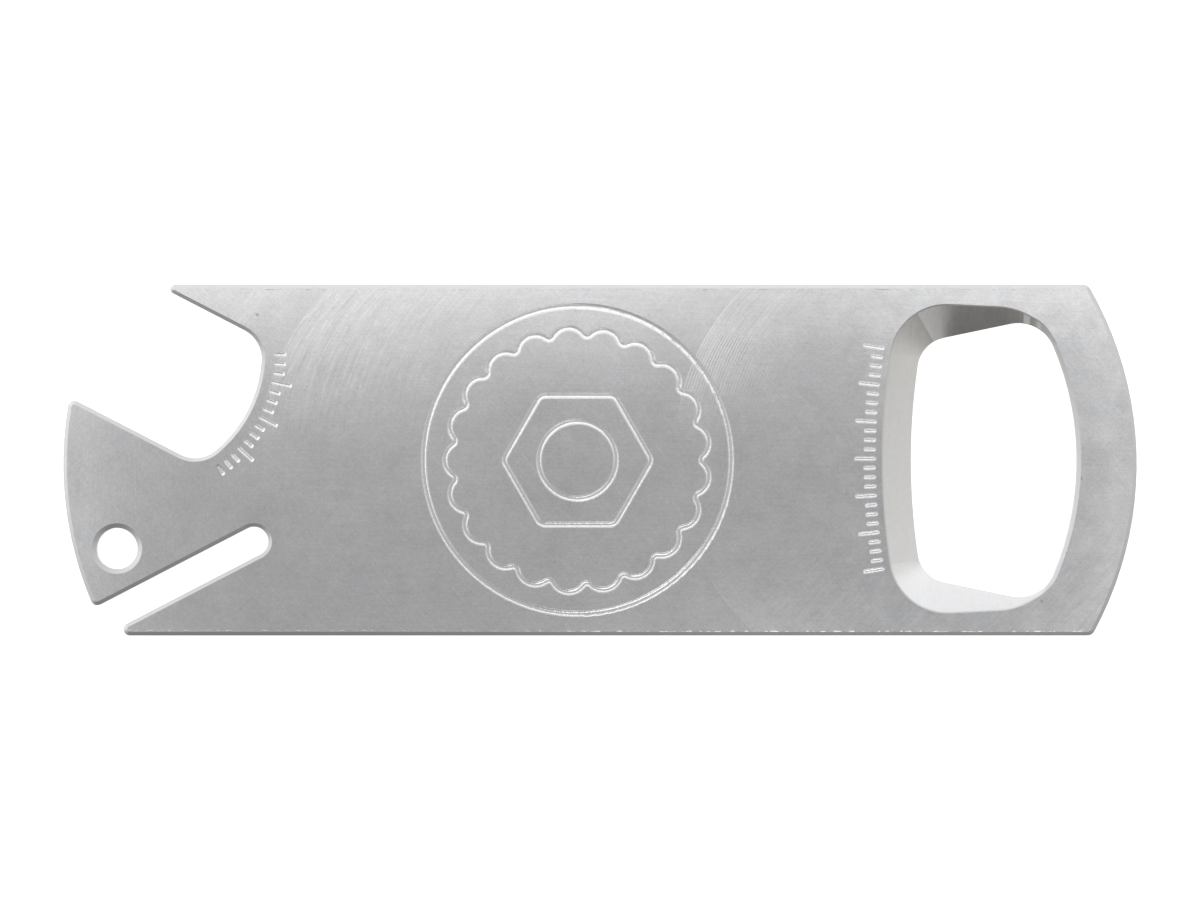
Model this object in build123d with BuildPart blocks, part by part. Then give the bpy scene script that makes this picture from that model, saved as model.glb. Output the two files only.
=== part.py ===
"""One-piece pocket multi tool, machined from flat aluminium bar.

The bar lies flat with its back face on Z = 0 and its front face up. +X runs along the bar
to the bottle opener end, and +Y runs across it to the open side of the wrench jaw. X = 0 and
Y = 0 are the middle of the bar. Sizes are millimetres, and angles are degrees.
"""

from build123d import *
import os
from math import cos, degrees, radians, sin, sqrt, tan

# Bar stock
bar_width = 38.1
bar_thickness = 6.35
tool_length = 116.55

# Broken edges: their widths are seen from above, and all slant at one angle from upright
edge_break_angle = 53.0
edge_break = 0.4

# Rounded ends, turned about points a little below the bar's middle line
end_radius = 38.3
end_drop = 0.4
end_corner_radius = 0.9

# Open-end wrench jaw: a parallel-sided notch that opens up and to the left.
# Its throat lies this far in from the left end and above the middle line.
jaw_gap = 15.2
jaw_angle = -27.3
jaw_depth = 20.02
jaw_rise = 5.36
jaw_throat_radius = 13.9
jaw_corner_radius = 3.5
upper_prong_radius = 0.5

# Narrow straightening slot: opens down and to the left.
# The centre of its round end lies this far in from the left end and below the middle line.
slot_width = 3.175
slot_angle = 27.4
slot_depth = 20.69
slot_drop = 8.82
lower_prong_radius = 0.69

# Middle blade between the jaw and the slot. Its key ring hole is as far from the end as from the slot.
blade_tip_radius = 0.7
ring_hole_diameter = 4.5
ring_hole_break = 0.5
ring_hole_inset = 4.55

# Cap opening: a straight-walled window right through the bar, wider towards the right end
end_wall = 6.42
window_length = 18.03
window_left_radius = 70.0
window_left_corner = 3.6
window_side_angle = 11.8
window_right_radius = 31.5
window_right_corner = 4.1
window_break = 0.38
window_back_break = 0.3

# Sloped lead-in from the front face down to the window's left, upper and lower walls.
# It is centred a little above the middle line. Heights of its sides and of the window's are
# measured at one station, and places towards its right end run back from the window's right end.
slope_angle = 32.0
slope_rise = 0.16
slope_run = 3.16
slope_left_radius = 76.0
slope_left_corner = 6.2
side_station_back = 11.05
side_wall = 2.47
side_run = 2.58
slope_side_angle = -2.7
slope_break_back = 6.87
slope_break_radius = 7.5
slope_end_angle = -28.5
slope_corner_back = 3.21
slope_corner_radius = 4.3
slope_foot_angle = -68.5
slope_foot_back = 1.95
slope_edge_break = 0.08

# Round emblem, cut with a ball-nosed cutter
emblem_x = -2.45
emblem_margin = 2.35
emblem_cutter_radius = 0.4
emblem_depth = 0.22
cap_margin = 2.3
cap_flutes = 21
cap_flute_height = 1.5
cap_valley_fillet = 0.55
nut_across_flats = 14.0
nut_corner_radius = 1.0
nut_bore_radius = 4.2

# Rows of tick marks, cut with a finer ball-nosed cutter
tick_cutter_radius = 0.28
tick_depth = 0.22
tick_short = 1.4
tick_long = 2.4
tick_pitch = 1.0
ticks_per_long = 4
opening_tick_gap = 0.7
opening_ticks_each_side = 12
jaw_tick_gap = 1.3
jaw_ticks_each_side = 7

# Places that follow from the sizes above
left_end = -tool_length / 2
end_centre_reach = tool_length / 2 - end_radius
jaw_throat = (left_end + jaw_depth, jaw_rise)
slot_end = (left_end + slot_depth, -slot_drop)
window_right = tool_length / 2 - end_wall
window_left = window_right - window_length
slope_left = window_left - slope_run
slope_break = window_right - slope_break_back
slope_corner = window_right - slope_corner_back
slope_foot = window_right - slope_foot_back
side_station = window_right - side_station_back
slope_side_height = bar_width / 2 - side_wall
window_side_height = slope_side_height - side_run
slope_cutter_depth = sqrt(slope_run**2 + side_run**2) / tan(radians(slope_angle))
emblem_ring_radius = bar_width / 2 - emblem_margin
cap_peak_radius = emblem_ring_radius - cap_margin
cap_valley_radius = cap_peak_radius - cap_flute_height

# Cutters run this far past the metal they leave by
overrun = 30.0

front = Plane.XY.offset(bar_thickness)


# The bar's outline, seen from the front face


def jaw_outline():
    """The wrench jaw's notch: two parallel sides that end in a shallow arc with round corners."""
    side = jaw_gap / 2
    shoulder = sqrt(jaw_throat_radius**2 - side**2) - jaw_throat_radius
    with BuildSketch() as jaw:
        with BuildLine():
            Polyline((shoulder, side), (-overrun, side), (-overrun, -side), (shoulder, -side))
            ThreePointArc((shoulder, -side), (0, 0), (shoulder, side))
        make_face()
        fillet(jaw.vertices().group_by(Axis.X)[-1], jaw_corner_radius)
    return jaw.sketch


def plate_outline():
    """The bar with its slot, round ends and jaw, and with each corner rounded."""
    jaw = jaw_outline()
    with BuildSketch() as outline:
        Rectangle(tool_length, bar_width)
        with Locations(Location((*slot_end, 0), (0, 0, slot_angle))):
            Circle(slot_width / 2, mode=Mode.SUBTRACT)
            Rectangle(overrun, slot_width, align=(Align.MAX, Align.CENTER), mode=Mode.SUBTRACT)
        lower_prong = outline.vertices().group_by(Axis.Y)[0].sort_by(Axis.X)[0]
        fillet(lower_prong, lower_prong_radius)
        with Locations((0, -end_drop)):
            SlotCenterToCenter(2 * end_centre_reach, 2 * end_radius, mode=Mode.INTERSECT)
        with Locations(Location((*jaw_throat, 0), (0, 0, jaw_angle))):
            add(jaw, mode=Mode.SUBTRACT)
        upper_prong = outline.vertices().group_by(Axis.Y)[-1].sort_by(Axis.X)[0]
        fillet(upper_prong, upper_prong_radius)
        fillet(outline.vertices().sort_by(Axis.X)[:2], blade_tip_radius)
        fillet(outline.vertices().sort_by(Axis.X)[-2:], end_corner_radius)
    return outline.sketch


def ring_hole_centre():
    """The point that lies the same inset from the left end's arc and from the slot's upper side."""
    along = cos(radians(slot_angle)), sin(radians(slot_angle))
    offset = slot_width / 2 + ring_hole_inset
    beside = slot_end[0] - offset * along[1], slot_end[1] + offset * along[0]
    from_arc = beside[0] + end_centre_reach, beside[1] + end_drop
    middle = from_arc[0] * along[0] + from_arc[1] * along[1]
    radius = end_radius - ring_hole_inset
    run = middle + sqrt(middle**2 + radius**2 - from_arc[0] ** 2 - from_arc[1] ** 2)
    return beside[0] - run * along[0], beside[1] - run * along[1]


# The cap opening


def side_y(height, angle, x):
    """How far from the middle line a side of the opening lies at x."""
    return height + (x - side_station) * tan(radians(angle))


def window_outline():
    """The straight-walled window: two bulged ends, and sides that spread towards the bar's end."""
    near_y = side_y(window_side_height, window_side_angle, window_left)
    far_y = side_y(window_side_height, window_side_angle, window_right)
    with BuildSketch() as window:
        with BuildLine():
            Polyline(
                (window_left, near_y),
                (window_right, far_y),
                (window_right, -far_y),
                (window_left, -near_y),
                close=True,
            )
        make_face()
        with Locations((window_left + window_left_radius, 0)):
            Circle(window_left_radius, mode=Mode.INTERSECT)
        with Locations((window_right - window_right_radius, 0)):
            Circle(window_right_radius, mode=Mode.INTERSECT)
        corners = window.vertices().sort_by(Axis.X)
        fillet(corners[:2], window_left_corner)
        fillet(window.vertices().sort_by(Axis.X)[-2:], window_right_corner)
    return window.sketch


def slope_outline():
    """The lead-in where it opens to the front face. Its far corners are cut off in two steps."""
    near_y = side_y(slope_side_height, slope_side_angle, slope_left)
    break_y = side_y(slope_side_height, slope_side_angle, slope_break)
    corner_y = break_y + (slope_corner - slope_break) * tan(radians(slope_end_angle))
    foot_y = corner_y + (slope_foot - slope_corner) * tan(radians(slope_foot_angle))
    with BuildSketch() as slope:
        with BuildLine():
            Polyline(
                (slope_left, near_y),
                (slope_break, break_y),
                (slope_corner, corner_y),
                (slope_foot, foot_y),
                (slope_foot, -foot_y),
                (slope_corner, -corner_y),
                (slope_break, -break_y),
                (slope_left, -near_y),
                close=True,
            )
        make_face()
        with Locations((slope_left + slope_left_radius, 0)):
            Circle(slope_left_radius, mode=Mode.INTERSECT)
        fillet(slope.vertices().sort_by(Axis.X)[4:6], slope_corner_radius)
        fillet(slope.vertices().sort_by(Axis.X)[2:4], slope_break_radius)
        fillet(slope.vertices().sort_by(Axis.X)[:2], slope_left_corner)
    return slope.sketch.moved(Location((0, slope_rise, 0)))


def grown(outline, amount):
    """An outline moved out by an amount, or in by a negative one, with its corners kept as they are."""
    return offset(outline, amount=amount, kind=Kind.INTERSECTION)


def tapered_cutter(outline, depth, angle):
    """A cutter that starts on the front face with an outline and closes in at one steady angle."""
    with BuildPart() as cutter:
        with BuildSketch(front):
            add(outline)
        with BuildSketch(front.offset(-depth)):
            add(grown(outline, -depth * tan(radians(angle))))
        loft(ruled=True)
    return cutter.part


def opening_cutter():
    """Everything that is cut away for the cap opening, with its edges broken at the front face."""
    window = window_outline()
    slope = slope_outline()
    with BuildPart() as cutter:
        with BuildSketch():
            add(window)
        extrude(amount=bar_thickness)
        add(tapered_cutter(slope, slope_cutter_depth, slope_angle))
        add(tapered_cutter(grown(window, window_break), 4 * window_break, edge_break_angle))
        add(tapered_cutter(grown(slope, slope_edge_break), 4 * slope_edge_break, edge_break_angle))
    return cutter.part


# The engraving


def groove(outline, cutter_radius):
    """A round-bottomed groove whose cutter's centre runs round an outline."""
    path = outline.face().outer_wire()
    with BuildPart() as cutter:
        with BuildSketch(Plane(origin=path @ 0, z_dir=path % 0)):
            Circle(cutter_radius)
        sweep(path=path, transition=Transition.ROUND)
    return cutter.part


def emblem_cutter():
    """The round emblem: a ring, a crown cap seen from above, and a hexagon nut with its bore."""
    level = bar_thickness + emblem_cutter_radius - emblem_depth
    plane = Plane(origin=(emblem_x, 0, level))
    with BuildSketch(plane) as ring:
        Circle(emblem_ring_radius)
    with BuildSketch(plane) as cap:
        flute_angle = 360 / cap_flutes
        with BuildLine():
            for flute in range(cap_flutes):
                start = flute * flute_angle
                ThreePointArc(
                    polar(cap_valley_radius, start),
                    polar(cap_peak_radius, start + flute_angle / 2),
                    polar(cap_valley_radius, start + flute_angle),
                )
        make_face()
        fillet(cap.vertices(), cap_valley_fillet)
    with BuildSketch(plane) as nut:
        RegularPolygon(nut_across_flats / 2, 6, major_radius=False)
        fillet(nut.vertices(), nut_corner_radius)
    with BuildSketch(plane) as bore:
        Circle(nut_bore_radius)
    with BuildPart() as cutter:
        for outline in (ring, cap, nut, bore):
            add(groove(outline.sketch, emblem_cutter_radius))
    return cutter.part


def polar(radius, angle):
    """A point given by its radius and its angle."""
    return radius * cos(radians(angle)), radius * sin(radians(angle))


def tick(length):
    """The cutter for one tick mark: a rod with round ends along X."""
    with BuildPart() as cutter:
        with BuildSketch():
            SlotOverall(length, 2 * tick_cutter_radius)
            Rectangle(length, tick_cutter_radius, align=(Align.CENTER, Align.MIN), mode=Mode.INTERSECT)
        revolve(axis=Axis.X)
    return cutter.part


def tick_row(centre, radius, middle_angle, each_side):
    """Ticks that point at a centre and start on a circle round it, with every few of them longer."""
    level = bar_thickness + tick_cutter_radius - tick_depth
    step = degrees(tick_pitch / radius)
    with BuildPart() as cutter:
        for number in range(-each_side, each_side + 1):
            length = tick_short if number % ticks_per_long else tick_long
            with Locations(Location((*centre, level), (0, 0, middle_angle + number * step))):
                with Locations((radius + length / 2, 0)):
                    add(tick(length))
    return cutter.part


def opening_ticks():
    """A row of ticks beside the cap opening's sloped edge."""
    centre = (slope_left + slope_left_radius, slope_rise)
    radius = slope_left_radius + opening_tick_gap
    return tick_row(centre, radius, 180, opening_ticks_each_side)


def jaw_ticks():
    """A row of ticks round the end of the wrench jaw."""
    reach_x, reach_y = polar(jaw_throat_radius, jaw_angle)
    centre = (jaw_throat[0] - reach_x, jaw_throat[1] - reach_y)
    radius = jaw_throat_radius + jaw_tick_gap
    return tick_row(centre, radius, jaw_angle, jaw_ticks_each_side)


# The plate


def rims(face):
    """The closed circles round the holes in a face."""
    return face.edges().filter_by(GeomType.CIRCLE).filter_by(lambda edge: edge.is_closed)


def opening_edges(face):
    """The edges of a face's opening nearest the right end."""
    return face.inner_wires().sort_by(Axis.X)[-1].edges()


def break_edges(end, pick, width):
    """Breaks some edges of the back face, which is end 0, or of the front face, which is end -1."""
    face = tool_plate.faces().sort_by(Axis.Z)[end]
    chamfer(pick(face), width, width / tan(radians(edge_break_angle)), reference=face)


os.makedirs("parts", exist_ok=True)

with BuildPart() as tool_plate:
    with BuildSketch():
        add(plate_outline())
    extrude(amount=bar_thickness)
    for end in (0, -1):
        break_edges(end, Face.edges, edge_break)
    with Locations((*ring_hole_centre(), bar_thickness)):
        Hole(ring_hole_diameter / 2)
    for end in (0, -1):
        break_edges(end, rims, ring_hole_break)
    add(opening_cutter(), mode=Mode.SUBTRACT)
    break_edges(0, opening_edges, window_back_break)
    add(emblem_cutter(), mode=Mode.SUBTRACT)
    add(opening_ticks(), mode=Mode.SUBTRACT)
    add(jaw_ticks(), mode=Mode.SUBTRACT)

tool_plate.part.label = "tool_plate"
export_step(tool_plate.part, "parts/tool_plate.step")
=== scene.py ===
"""The looks of the pocket multi tool: machined aluminium on a plain floor, under soft light."""

import math

import bpy
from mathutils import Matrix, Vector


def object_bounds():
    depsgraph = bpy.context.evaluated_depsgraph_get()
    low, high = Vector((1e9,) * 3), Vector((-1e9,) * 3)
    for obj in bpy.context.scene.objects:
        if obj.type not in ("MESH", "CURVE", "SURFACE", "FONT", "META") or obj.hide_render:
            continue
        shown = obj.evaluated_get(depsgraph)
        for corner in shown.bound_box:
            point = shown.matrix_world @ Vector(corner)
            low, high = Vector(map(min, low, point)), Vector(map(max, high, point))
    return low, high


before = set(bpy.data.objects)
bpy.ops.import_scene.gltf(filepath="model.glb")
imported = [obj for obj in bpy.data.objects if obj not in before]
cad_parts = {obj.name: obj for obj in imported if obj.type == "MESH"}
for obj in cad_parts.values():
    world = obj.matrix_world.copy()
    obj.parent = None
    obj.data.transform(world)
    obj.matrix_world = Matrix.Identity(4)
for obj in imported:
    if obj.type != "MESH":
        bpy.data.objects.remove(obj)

MM = 0.001
cad_low, cad_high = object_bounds()
TOP = cad_high.z

# ---------------------------------------------------------------- camera

VIEW_WIDTH = 130.25 * MM
LENS = 600.0
SENSOR = 36.0
AIM_Y = 1.09 * MM


def make_camera():
    data = bpy.data.cameras.new("camera")
    data.lens = LENS
    data.sensor_width = SENSOR
    distance = VIEW_WIDTH * LENS / SENSOR
    data.clip_start, data.clip_end = 0.05, 20
    cam = bpy.data.objects.new("camera", data)
    cam.location = (0, AIM_Y, TOP + distance)
    bpy.context.scene.collection.objects.link(cam)
    bpy.context.scene.camera = cam


make_camera()


# ---------------------------------------------------------------- small helpers for node trees

class Nodes:
    """Builds a node tree out of plain expressions."""

    def __init__(self, tree):
        self.tree = tree

    def add(self, kind, **settings):
        node = self.tree.nodes.new(kind)
        for key, value in settings.items():
            setattr(node, key, value)
        return node

    def plug(self, socket, value):
        if isinstance(value, bpy.types.NodeSocket):
            self.tree.links.new(value, socket)
        else:
            socket.default_value = value

    def math(self, operation, *values, clamp=False):
        node = self.add("ShaderNodeMath", operation=operation, use_clamp=clamp)
        for socket, value in zip(node.inputs, values):
            self.plug(socket, value)
        return node.outputs[0]

    def vector(self, operation, *values, out=0):
        node = self.add("ShaderNodeVectorMath", operation=operation)
        for socket, value in zip(node.inputs, values):
            self.plug(socket, value)
        return node.outputs[out]

    def split(self, vector):
        node = self.add("ShaderNodeSeparateXYZ")
        self.plug(node.inputs[0], vector)
        return node.outputs

    def join(self, x, y, z):
        node = self.add("ShaderNodeCombineXYZ")
        for socket, value in zip(node.inputs, (x, y, z)):
            self.plug(socket, value)
        return node.outputs[0]

    def remap(self, value, low, high, to_low=0.0, to_high=1.0, smooth=False):
        """A value carried from one range to another, and held at its ends."""
        node = self.add("ShaderNodeMapRange", clamp=True)
        if smooth:
            node.interpolation_type = "SMOOTHSTEP"
        names = ("Value", "From Min", "From Max", "To Min", "To Max")
        for name, item in zip(names, (value, low, high, to_low, to_high)):
            self.plug(node.inputs[name], item)
        return node.outputs["Result"]

    def scaled(self, vector, scale):
        result = self.vector("SCALE", vector)
        self.plug(result.node.inputs["Scale"], scale)
        return result

    def curve(self, value, *points):
        """A smooth curve through a few (position, grey) points."""
        node = self.add("ShaderNodeValToRGB")
        ramp = node.color_ramp
        ramp.interpolation = "EASE"
        for number, (place, grey) in enumerate(points):
            stop = ramp.elements[number] if number < 2 else ramp.elements.new(place)
            stop.position = place
            stop.color = (grey, grey, grey, 1)
        self.plug(node.inputs[0], value)
        return node.outputs[0]

    def mix(self, share, first, second):
        node = self.add("ShaderNodeMix", data_type="FLOAT")
        sockets = (node.inputs[0], node.inputs[2], node.inputs[3])
        for socket, value in zip(sockets, (share, first, second)):
            self.plug(socket, value)
        return node.outputs[0]

    def tint(self, share, first, second):
        node = self.add("ShaderNodeMix", data_type="RGBA")
        sockets = (node.inputs[0], node.inputs[6], node.inputs[7])
        for socket, value in zip(sockets, (share, first, second)):
            self.plug(socket, value)
        return node.outputs[2]


# ---------------------------------------------------------------- light and floor

ZENITH = 0.42

# How bright the room is from its -Y side, at 0, round to its +Y side, at 1
LIGHT_BELOW = ((0.0, 0.165), (0.03, 0.2), (0.11, 0.44), (0.5, 0.755), (0.8, 1.2), (1.0, 1.14))
LIGHT_LEVEL = ((0.0, 0.24), (0.2, 0.42), (0.5, 0.80), (0.8, 0.97), (1.0, 0.99))
LEFT_GAIN = 0.18
WARM = (1.0, 0.998, 0.975, 1)
COOL = (0.985, 0.995, 1.012, 1)
OVERHEAD = (1.0, 0.997, 1.004, 1)


def make_world():
    """A room that is bright on the +Y side, dark low on the -Y side and dim overhead."""
    world = bpy.data.worlds.new("world")
    bpy.context.scene.world = world
    world.use_nodes = True
    n = Nodes(world.node_tree)
    x, y, z = n.split(n.add("ShaderNodeTexCoord").outputs["Generated"])
    squares = n.math("ADD", n.math("MULTIPLY", x, x), n.math("MULTIPLY", y, y))
    flat = n.math("MAXIMUM", n.math("SQRT", squares), 0.001)
    toward = n.math("MULTIPLY_ADD", n.math("DIVIDE", y, flat), 0.5, 0.5)
    leftward = n.math("DIVIDE", n.math("MULTIPLY", x, -1.0), flat)
    below = n.curve(toward, *LIGHT_BELOW)
    level_with = n.curve(toward, *LIGHT_LEVEL)
    sideways = n.math("ADD", 1.0, n.math("MULTIPLY", leftward, LEFT_GAIN))
    level_with = n.math("MULTIPLY", level_with, sideways)
    sides = n.mix(n.remap(z, -0.35, 0.05, smooth=True), below, level_with)
    up = n.remap(z, 0.3, 0.95, smooth=True)
    level = n.mix(up, sides, ZENITH)
    round_room = n.tint(n.remap(toward, 0.5, 0.9, smooth=True), WARM, COOL)
    tone = n.tint(up, round_room, OVERHEAD)
    background = world.node_tree.nodes["Background"]
    n.plug(background.inputs["Color"], n.scaled(tone, level))
    background.inputs["Strength"].default_value = 1.0


SPREAD = math.radians(130)


def area_light(name, x, y, height, size, radiance):
    """A panel over the object that faces straight down."""
    data = bpy.data.lights.new(name, "AREA")
    data.shape = "RECTANGLE"
    data.size, data.size_y = size
    data.spread = SPREAD
    data.energy = radiance * math.pi * size[0] * size[1]
    light = bpy.data.objects.new(name, data)
    light.location = (x, y, height)
    light.visible_camera = False
    bpy.context.scene.collection.objects.link(light)


make_world()
area_light("softbox", -0.03, 0.085, 0.052, (0.36, 0.14), 0.39)
area_light("right fill", 0.100, -0.02, 0.05, (0.08, 0.10), 0.34)
area_light("left fill", -0.11, 0.0, 0.05, (0.09, 0.10), 0.68)
area_light("low fill", 0.045, -0.07, 0.05, (0.10, 0.07), 1.0)


FLOOR_GAP = 0.1 * MM


def make_floor():
    mesh = bpy.data.meshes.new("floor")
    far = 3.0
    corners = [(-far, -far, 0), (far, -far, 0), (far, far, 0), (-far, far, 0)]
    mesh.from_pydata(corners, [], [(0, 1, 2, 3)])
    floor = bpy.data.objects.new("floor", mesh)
    bpy.context.scene.collection.objects.link(floor)
    floor.location.z = cad_low.z - FLOOR_GAP
    floor.visible_glossy = False
    floor.visible_shadow = False
    mat = bpy.data.materials.new("floor")
    mat.use_nodes = True
    bsdf = mat.node_tree.nodes["Principled BSDF"]
    bsdf.inputs["Base Color"].default_value = (0.5, 0.5, 0.5, 1)
    bsdf.inputs["Roughness"].default_value = 0.9
    bsdf.inputs["Specular IOR Level"].default_value = 0.0
    bsdf.inputs["Emission Color"].default_value = (1, 1, 1, 1)
    bsdf.inputs["Emission Strength"].default_value = 0.95
    mesh.materials.append(mat)


make_floor()
bpy.context.scene.view_settings.view_transform = "Standard"

# ---------------------------------------------------------------- metal


MILL_RADIUS = 25.4       # the face mill's, in millimetres like every length in the material
MILL_LINE = 0.5          # the Y that its axis ran along
OUTER_STOP = -19.8       # where the mill's axis stood when it lifted or came down
LEFT_STOP = -11.6
RIGHT_STOP = 33.4
FEED = 0.33              # the mill's, each turn
ALUMINIUM = 0.765
CORNER = (37.66, 10.68)  # the centre of the cap opening's upper left corner
SCALLOP_TURN = 3.1       # degrees round that corner for each pass of the cutter
FACETS = ((46.0, 46.7), (47.45, 47.9))   # from X to X, on the slope's upper side
EMBLEM = (-2.45, 0.0)
EMBLEM_REACH = 17.5
DINGS = ((47.9, -15.3), (-37.2, 15.7), (52.2, -2.0))
# painted light and shade: places where the face's colour is made lighter or darker
PAINTED_LIGHT_PATCH = (-25.0, 2.0)
PAINTED_SHADE_PATCH = (20.0, 17.5)
PAINTED_SHADE_CORNER = (53.5, 13.5)
OPENING_TICKS = (106.67, 0.16)   # the points that the two rows of ticks aim at
OPENING_TICK_REACH = (76.55, 79.3)
JAW_TICKS = (-50.61, 11.74)
JAW_TICK_REACH = (15.05, 17.8)
LOWER_BURR = (-18.62, -18.48)    # from Y to Y
UPPER_BURR = (18.52, 18.62)


class Metal(Nodes):
    """The aluminium. Its marks, and the light and shade painted into its colour, follow from where
    a point is and which way its surface faces.
    """

    def __init__(self, tree):
        super().__init__(tree)
        coordinates = self.add("ShaderNodeTexCoord")
        self.place = self.scaled(coordinates.outputs["Object"], 1 / MM)
        self.x, self.y, self.z = self.split(self.place)
        self.facing_x, self.facing_y, self.facing_z = self.split(coordinates.outputs["Normal"])

    def noise(
        self, scale, detail=2.0, stretch=(1, 1, 1), turn=0.0, roughness=0.5, shift=0.0, place=None
    ):
        """Noise from 0 to 1 with this many features per millimetre, drawn out and turned."""
        mapping = self.add("ShaderNodeMapping")
        self.plug(mapping.inputs["Vector"], place or self.place)
        mapping.inputs["Rotation"].default_value = (0, 0, math.radians(turn))
        mapping.inputs["Location"].default_value = (shift, -shift, shift / 3)
        squash = self.vector("MULTIPLY", mapping.outputs[0], stretch)
        node = self.add("ShaderNodeTexNoise")
        self.plug(node.inputs["Vector"], squash)
        node.inputs["Scale"].default_value = scale
        node.inputs["Detail"].default_value = detail
        node.inputs["Roughness"].default_value = roughness
        return node.outputs["Fac"]

    def specks(self, scale, size, shift):
        """Small round dots, 1 at their middles, scattered at this many per millimetre."""
        moved = self.vector("ADD", self.place, (shift, shift, 0))
        node = self.add("ShaderNodeTexVoronoi", voronoi_dimensions="3D", feature="F1")
        self.plug(node.inputs["Vector"], moved)
        node.inputs["Scale"].default_value = scale
        near = self.remap(node.outputs["Distance"], 0.0, size, 1.0, 0.0, smooth=True)
        colour = self.split(node.outputs["Color"])
        return self.math("MULTIPLY", near, self.remap(colour[0], 0.45, 0.95))

    def centred(self, value, gain):
        """A 0 to 1 value turned into one that swings about zero."""
        return self.math("MULTIPLY", self.math("SUBTRACT", value, 0.5), gain)

    def total(self, *values):
        result = values[0]
        for value in values[1:]:
            result = self.math("ADD", result, value)
        return result

    def product(self, *values):
        result = values[0]
        for value in values[1:]:
            result = self.math("MULTIPLY", result, value)
        return result

    def band(self, value, low, high, edge):
        """1 between two values, with soft edges this wide."""
        rise = self.remap(value, low - edge, low + edge, smooth=True)
        fall = self.remap(value, high - edge, high + edge, 1.0, 0.0, smooth=True)
        return self.math("MULTIPLY", rise, fall)

    def distance(self, centre):
        """How far a point lies from an upright line, seen from the front."""
        dx = self.math("SUBTRACT", self.x, centre[0])
        dy = self.math("SUBTRACT", self.y, centre[1])
        squares = self.math("ADD", self.math("MULTIPLY", dx, dx), self.math("MULTIPLY", dy, dy))
        return self.math("SQRT", squares)

    def mill_place(self):
        """Where the mill's axis was along the bar when its left edge cut here."""
        from_line = self.math("SUBTRACT", self.y, MILL_LINE)
        chord = self.math("SUBTRACT", MILL_RADIUS**2, self.math("MULTIPLY", from_line, from_line))
        return self.math("ADD", self.x, self.math("SQRT", self.math("MAXIMUM", chord, 0.0)))

    def below_top(self, start, full):
        """0 less than one depth under the front face, 1 more than another."""
        return self.remap(self.z, TOP / MM - start, TOP / MM - full)

    def patch(self, centre, full, gone):
        """1 near a point, fading to 0 between two distances from it."""
        return self.remap(self.distance(centre), full, gone, 1.0, 0.0, smooth=True)

    def fan(self, along, stop, length):
        """A band that starts sharply at one stop of the mill and fades along the bar."""
        begun = self.remap(along, stop - 0.08, stop + 0.08)
        fading = self.remap(along, stop, stop + length, 1.0, 0.0, smooth=True)
        return self.math("MULTIPLY", begun, fading)


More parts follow.
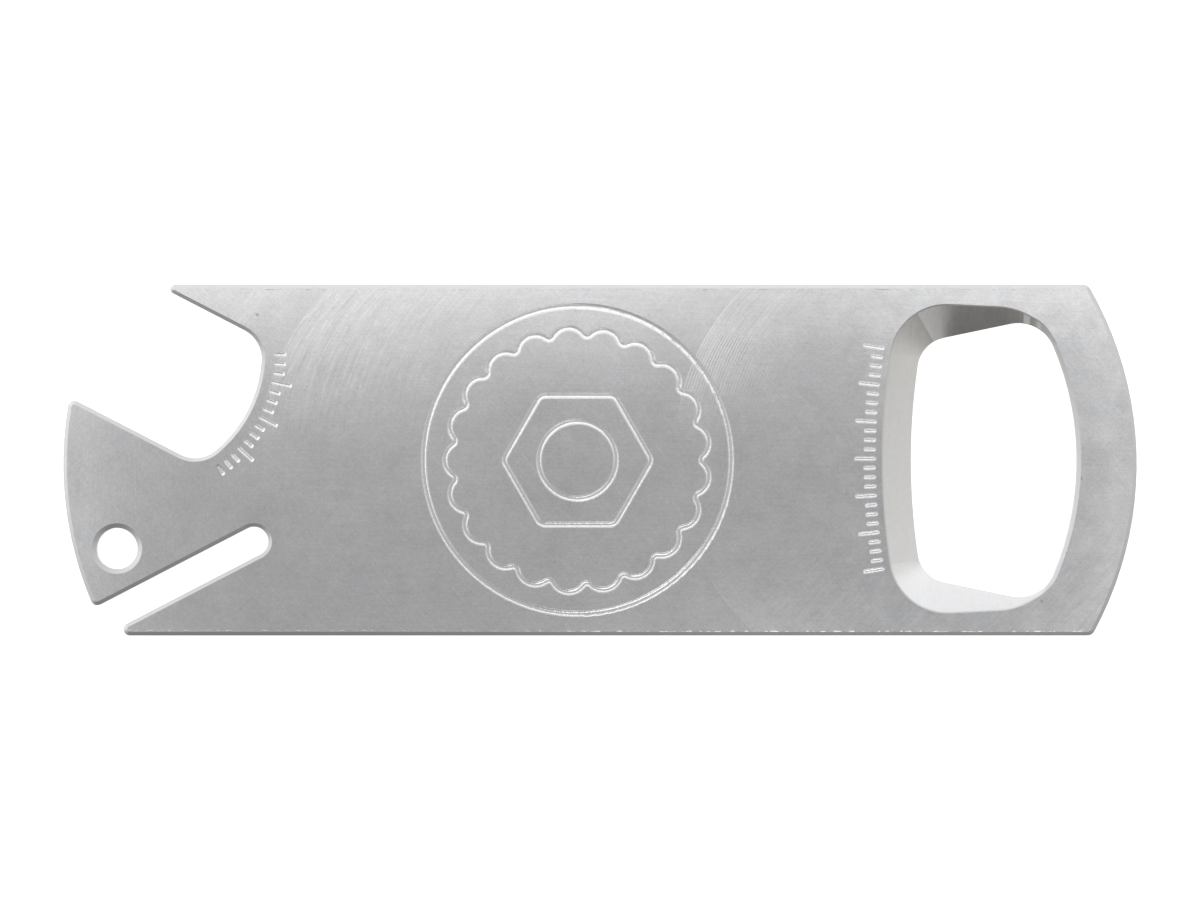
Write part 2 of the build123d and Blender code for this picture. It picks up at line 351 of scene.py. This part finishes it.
def make_metal():
    mat = bpy.data.materials.new("machined_aluminium")
    mat.use_nodes = True
    bsdf = mat.node_tree.nodes["Principled BSDF"]
    m = Metal(mat.node_tree)
    front = m.remap(m.facing_z, 0.97, 0.995)
    left_part = m.remap(m.x, -30.0, -50.0, smooth=True)
    right_part = m.remap(m.x, 16.0, 34.0, smooth=True)

    # face milling: fans that start at each stop of the mill, and feed lines inside them; the fans
    # are also made lighter in colour, a painted highlight for the sheen their feed lines catch
    along = m.mill_place()
    wavy = m.math("ADD", along, m.centred(m.noise(0.12, 1.0, shift=3.0), 0.25))
    lines = m.math("SINE", m.math("MULTIPLY", wavy, 2 * math.pi / FEED))
    arc_place = m.join(along, m.math("MULTIPLY", m.y, 0.06), 0.0)
    arcs = m.noise(2.6, 2.0, roughness=0.65, place=arc_place)
    streak_place = m.join(along, m.math("MULTIPLY", m.y, 0.3), 0.0)
    streaks = m.remap(m.noise(2.8, 1.0, shift=51.0, place=streak_place), 0.60, 0.74)
    rising = m.remap(m.y, 1.0, 9.0, smooth=True)
    outermost = m.product(m.fan(along, OUTER_STOP, 6.0), 0.3)
    first = m.product(m.total(outermost, m.product(m.fan(along, LEFT_STOP, 26.0), 0.9)), rising)
    second = m.product(m.fan(along, RIGHT_STOP, 13.0), m.remap(m.y, 3.0, 9.5, smooth=True))
    third = m.product(m.fan(along, RIGHT_STOP, 14.0), m.remap(m.y, -11.0, -15.5, smooth=True))
    top_strip = m.remap(m.y, 13.5, 16.5, smooth=True)
    # painted highlight: the fans' lighter colour stands in for light caught by their feed lines
    painted_fan_highlight = m.total(
        m.product(first, 0.10),
        m.product(second, m.mix(top_strip, 0.16, 0.03)),
        m.product(third, 0.09),
    )
    left_edge = m.band(along, LEFT_STOP - 0.06, LEFT_STOP + 0.06, 0.05)
    right_edge = m.band(along, RIGHT_STOP - 0.05, RIGHT_STOP + 0.07, 0.05)
    edge_lines = m.total(
        m.product(left_edge, rising, 0.4),
        m.product(right_edge, m.remap(m.y, 6.0, 10.0, smooth=True), 0.7),
    )
    strong = m.product(second, m.band(m.y, 5.8, 14.0, 1.6), m.remap(m.x, 23.0, 15.0, smooth=True))
    uneven = m.remap(m.noise(0.35, 2.0, stretch=(1.6, 0.6, 1), turn=40, shift=7.0), 0.35, 0.65)
    line_strength = m.product(
        front,
        m.total(0.08, m.product(first, 0.2), m.product(second, 0.3), m.product(strong, 1.5)),
        m.math("ADD", 0.45, m.product(uneven, 0.8)),
    )
    arc_gain = m.total(0.15, m.product(first, 1.2), m.product(second, 0.8), m.product(third, 0.3))
    arc_strength = m.product(front, arc_gain)

    # brushing, hatching, mottling, grain and scratches
    across = m.noise(1.0, 3.0, stretch=(0.35, 5.0, 1), turn=2, roughness=0.6)
    upright = m.noise(1.0, 3.0, stretch=(5.0, 0.35, 1), turn=-1, roughness=0.6, shift=11.0)
    hatch_a = m.noise(1.0, 2.0, stretch=(0.3, 4.2, 1), turn=44, roughness=0.6, shift=17.0)
    hatch_b = m.noise(1.0, 2.0, stretch=(0.3, 4.2, 1), turn=-47, roughness=0.6, shift=19.0)
    hatching = m.math("MULTIPLY", m.math("ADD", hatch_a, hatch_b), 0.5)
    lower_right = m.product(
        m.remap(m.x, 12.0, 26.0, smooth=True), m.remap(m.y, -6.0, -12.0, smooth=True)
    )
    brushing = m.mix(left_part, across, upright)
    cross = m.mix(lower_right, hatching, hatch_b)
    grain = m.noise(3.2, 2.0, roughness=0.7, shift=5.0)
    fine = m.noise(7.0, 1.0, roughness=0.6, shift=31.0)
    cloud = m.noise(0.16, 3.0, roughness=0.55, shift=2.0)
    mottle = m.noise(0.42, 2.5, roughness=0.55, shift=9.0)
    mottle_gain = m.total(0.13, m.product(right_part, 0.16))
    cross_gain = m.total(0.17, m.product(left_part, 0.06), m.product(lower_right, 0.10))
    scratches = m.remap(m.noise(1.0, 1.0, stretch=(0.22, 4.5, 1), turn=52, shift=21.0), 0.66, 0.74)
    bright_specks = m.specks(0.8, 0.12, shift=4.0)
    dings = m.total(*(m.patch(place, 0.10, 0.28) for place in DINGS))

    flat_shade = m.total(
        1.0,
        m.centred(brushing, 0.16),
        m.centred(cross, cross_gain),
        m.centred(grain, 0.26),
        m.centred(fine, 0.20),
        m.centred(cloud, 0.16),
        m.centred(mottle, mottle_gain),
        m.product(scratches, 0.06),
        m.product(bright_specks, m.total(0.10, m.product(first, 0.35))),
        m.product(dings, -0.22),
        painted_fan_highlight,
        m.product(edge_lines, 0.22),
        m.product(m.centred(arcs, 0.42), arc_strength),
        m.product(streaks, m.total(0.02, m.product(first, 0.11), m.product(second, 0.06))),
        m.product(line_strength, lines, 0.085),
        # painted shade: both ends of the bar are made darker in colour
        m.product(m.remap(m.math("ABSOLUTE", m.x), 55.4, 57.2, smooth=True), -0.08),
        # painted shade and painted light: patches of the face made darker or lighter in colour
        m.product(m.patch(PAINTED_SHADE_CORNER, 1.5, 7.0), -0.06),
        m.product(m.patch(PAINTED_LIGHT_PATCH, 5.0, 19.0), 0.055),
        m.product(m.patch(PAINTED_SHADE_PATCH, 4.0, 17.0), -0.09),
    )

    # engraving: smoother than the face, and paler in colour as a painted highlight for the light
    # its grooves catch
    near_opening = m.band(m.distance(OPENING_TICKS), *OPENING_TICK_REACH, 0.02)
    near_jaw = m.product(
        m.band(m.distance(JAW_TICKS), *JAW_TICK_REACH, 0.02), m.remap(m.x, -41.1, -41.0)
    )
    in_emblem = m.remap(m.distance(EMBLEM), EMBLEM_REACH - 0.1, EMBLEM_REACH + 0.1, 1.0, 0.0)
    engraved = m.product(
        m.below_top(0.003, 0.012),
        m.below_top(0.25, 0.24),
        m.remap(m.math("ABSOLUTE", m.y), 18.0, 17.9),
        m.math("MAXIMUM", in_emblem, m.math("MAXIMUM", near_opening, near_jaw)),
    )
    ragged = m.noise(2.6, 2.0, roughness=0.7, shift=27.0)

    # burrs along the bar's edges
    lower_burr = m.product(
        front,
        m.band(m.y, *LOWER_BURR, 0.04),
        m.remap(m.noise(1.3, 2.0, stretch=(1, 0.2, 1), shift=43.0), 0.48, 0.62),
    )
    upper_burr = m.product(
        front,
        m.band(m.y, *UPPER_BURR, 0.04),
        m.remap(m.noise(1.1, 2.0, stretch=(1, 0.2, 1), shift=45.0), 0.58, 0.7),
    )

    # walls, slopes and broken edges
    wall_grain = m.noise(1.4, 3.0, stretch=(1, 1, 0.5), shift=15.0)
    upright_lines = m.noise(1.0, 2.0, stretch=(3.5, 3.5, 0.2), roughness=0.6, shift=33.0)
    sloped = m.product(m.band(m.facing_z, 0.45, 0.6, 0.03), m.below_top(0.1, 0.16))
    slope_lines = m.noise(1.0, 2.0, stretch=(3.2, 0.4, 0.4), roughness=0.65, shift=35.0)
    turned_x = m.math("SUBTRACT", m.x, CORNER[0])
    turned_y = m.math("SUBTRACT", m.y, CORNER[1])
    turn = m.math("MULTIPLY", m.math("ARCTAN2", turned_x, turned_y), 180 / math.pi)
    turn_ragged = m.math("ADD", turn, m.centred(m.noise(0.9, 1.0, shift=37.0), 2.0))
    # a band round the opening's corner, made lighter in colour as a painted highlight, and rougher
    corner_band_painted_highlight = m.product(
        sloped,
        m.remap(turn_ragged, -32.5, -30.5, smooth=True),
        m.remap(turn, -16.0, 18.0, 1.0, 0.0, smooth=True),
        m.remap(m.y, 10.0, 11.0),
    )
    # facets on the slope's upper side, made lighter in colour as a painted highlight, and rougher
    near_facet = m.band(m.x, *FACETS[0], 0.15)
    last_facet = m.product(m.band(m.x, *FACETS[1], 0.12), 0.8)
    facets_painted_highlight = m.product(sloped, m.remap(m.y, 12.0, 12.5), m.total(near_facet, last_facet))
    scallops = m.math("SINE", m.math("MULTIPLY", turn, 2 * math.pi / SCALLOP_TURN))
    facing_up = m.product(m.remap(m.facing_y, 0.15, 0.35), m.remap(m.y, -1.0, -2.0))
    facing_left = m.product(m.remap(m.facing_x, -0.15, -0.35), m.remap(m.x, -46.0, -45.0))
    # painted shade: broken edges facing up or left are made darker in colour
    painted_chamfer_shade = m.product(
        m.band(m.facing_z, 0.76, 0.84, 0.02),
        m.total(m.product(facing_up, 0.08), m.product(facing_left, 0.06)),
    )
    slope_gain = m.mix(m.remap(m.y, 12.0, 14.0), 0.08, 0.30)
    wall_shade = m.total(
        1.0,
        m.centred(wall_grain, 0.08),
        m.centred(upright_lines, 0.06),
        m.product(sloped, m.centred(slope_lines, slope_gain)),
        m.product(corner_band_painted_highlight, m.total(0.30, m.product(scallops, 0.07))),
        m.product(facets_painted_highlight, 0.3),
        m.product(painted_chamfer_shade, -1.0),
    )
    shade = m.mix(front, wall_shade, flat_shade)
    # painted highlight: the grooves' colour is made paler than the face
    shade = m.mix(engraved, shade, m.total(1.27, m.centred(ragged, 0.06)))
    bluish_gain = m.total(0.025, m.product(right_part, 0.03))
    bluish = m.product(front, m.centred(m.noise(0.3, 1.5, shift=41.0), bluish_gain))
    yellowish = m.product(sloped, m.mix(m.remap(m.y, 8.0, 13.0), 0.006, 0.018))
    red = m.total(ALUMINIUM, m.product(bluish, -1.0), yellowish)
    blue = m.total(ALUMINIUM + 0.003, bluish, m.product(yellowish, -1.0))
    m.plug(bsdf.inputs["Base Color"], m.scaled(m.join(red, ALUMINIUM, blue), shade))

    roughness = m.total(
        m.mix(front, 0.30, 0.33),
        m.centred(cloud, 0.05),
        m.product(front, m.math("ADD", first, second), 0.02),
        m.product(m.math("ADD", corner_band_painted_highlight, facets_painted_highlight), 0.3),
    )
    m.plug(bsdf.inputs["Roughness"], m.mix(engraved, roughness, 0.27))
    bsdf.inputs["Metallic"].default_value = 1.0

    # fine relief, in micrometres
    height = m.total(
        m.product(line_strength, lines, 1.1),
        m.product(arc_strength, m.centred(arcs, 8.0)),
        m.product(front, m.centred(brushing, 6.0)),
        m.product(front, m.centred(cross, 8.0)),
        m.centred(grain, 7.0),
        m.product(front, scratches, -1.5),
        m.product(front, dings, -12.0),
        m.product(engraved, m.centred(ragged, 30.0)),
        m.product(m.math("ADD", lower_burr, upper_burr), 25.0),
    )
    bump = m.add("ShaderNodeBump")
    bump.inputs["Strength"].default_value = 1.0
    bump.inputs["Distance"].default_value = 1e-6
    m.plug(bump.inputs["Height"], height)
    m.plug(bsdf.inputs["Normal"], bump.outputs[0])
    return mat


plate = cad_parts["tool_plate"]
metal = make_metal()
for slot in plate.material_slots:
    slot.material = metal
